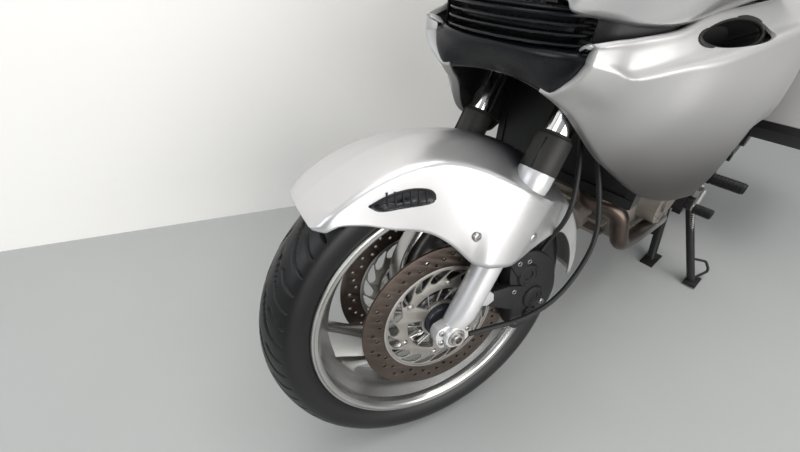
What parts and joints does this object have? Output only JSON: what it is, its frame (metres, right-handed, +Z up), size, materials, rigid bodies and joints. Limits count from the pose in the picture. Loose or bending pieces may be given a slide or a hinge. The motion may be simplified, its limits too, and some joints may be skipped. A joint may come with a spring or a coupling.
{
  "type": "touring motorcycle",
  "caption": "Touring motorcycle with full fairing, V-twin engine, twin front disc brakes, shaft drive and hinged side cases, standing on its centre stand.",
  "frame": {"origin": "centre of the footprint box on the floor", "axes": "+X is forward, +Y is to the rider's left, +Z is up"},
  "size_m": [2.2236, 0.7974, 1.2509],
  "materials": {
    "silver_paint": "satin",
    "black_gloss": "gloss",
    "black_plastic": "matte",
    "frame_black": "satin",
    "engine_grey": "matte",
    "alloy": "satin",
    "steel": "satin",
    "chrome": "polished",
    "disc_steel": "satin",
    "rubber": "matte",
    "tyre": "matte",
    "seat_cover": "matte",
    "clear": "polished",
    "lamp_red": "gloss"
  },
  "bodies": {
    "chassis": {"main_frame": "frame_black", "crankcase": "engine_grey", "cylinders": "engine_grey", "radiator": "frame_black", "exhaust_pipes": "steel", "silencer": "steel", "fuel_tank": "silver_paint", "seat": "seat_cover", "tail_cowl": "silver_paint", "tail_lamp": "lamp_red", "grab_rail": "frame_black", "rear_mudguard": "black_plastic", "fairing_left": "silver_paint", "fairing_right": "silver_paint", "inner_liner": "black_plastic", "nose_fairing": "silver_paint", "headlamp": "clear", "front_grille": "black_gloss", "windscreen": "clear", "dashboard": "black_plastic", "mirrors": "black_plastic", "swingarm": "frame_black", "pivot_bolt": "steel", "rear_shock": "frame_black", "rear_caliper": "frame_black", "footrests": "rubber", "foot_controls": "alloy", "pannier_case_left": "black_plastic", "pannier_case_right": "black_plastic"},
    "steering": {"fork_yokes": "alloy", "fork_stanchions": "chrome", "fork_sliders": "alloy", "fork_guards": "black_plastic", "front_axle": "steel", "front_fender": "silver_paint", "front_calipers": "frame_black", "front_lines": "rubber", "handlebar": "frame_black", "bar_controls": "rubber"},
    "front_wheel": {"front_rim": "alloy", "front_tyre": "tyre", "front_discs": "disc_steel"},
    "rear_wheel": {"rear_rim": "alloy", "rear_tyre": "tyre", "rear_disc": "disc_steel"},
    "side_stand": {"side_stand": "frame_black"},
    "centre_stand": {"centre_stand": "frame_black"},
    "pannier_lid_left": {"pannier_lid_left": "silver_paint"},
    "pannier_lid_right": {"pannier_lid_right": "silver_paint"}
  },
  "joints": [
    {"name": "steering", "type": "hinge", "parent": "chassis", "child": "steering", "pos_m": [0.9362, 0, -0.00134], "axis": [-0.4695, 0, 0.8829], "range_deg": [-18, 52]},
    {"name": "front_wheel", "type": "hinge", "parent": "steering", "child": "front_wheel", "pos_m": [0.81969, -0.01146, 0.29765], "axis": [0.2581, 0.9563, 0.1373], "continuous": true},
    {"name": "rear_wheel", "type": "hinge", "parent": "chassis", "child": "rear_wheel", "pos_m": [-0.6538, 0, 0.33156], "axis": [0, 1, 0], "continuous": true},
    {"name": "side_stand", "type": "hinge", "parent": "chassis", "child": "side_stand", "pos_m": [-0.0898, 0.16, 0.26166], "axis": [0, 1, 0], "range_deg": [0, 90]},
    {"name": "centre_stand", "type": "hinge", "parent": "chassis", "child": "centre_stand", "pos_m": [-0.1538, 0, 0.21266], "axis": [0, 1, 0], "range_deg": [0, 88]},
    {"name": "pannier_lid_left", "type": "hinge", "parent": "chassis", "child": "pannier_lid_left", "pos_m": [-0.6538, 0.3325, 0.37366], "axis": [-1, 0, 0], "range_deg": [0, 60]},
    {"name": "pannier_lid_right", "type": "hinge", "parent": "chassis", "child": "pannier_lid_right", "pos_m": [-0.6538, -0.3325, 0.37366], "axis": [1, 0, 0], "range_deg": [0, 60]}
  ]
}
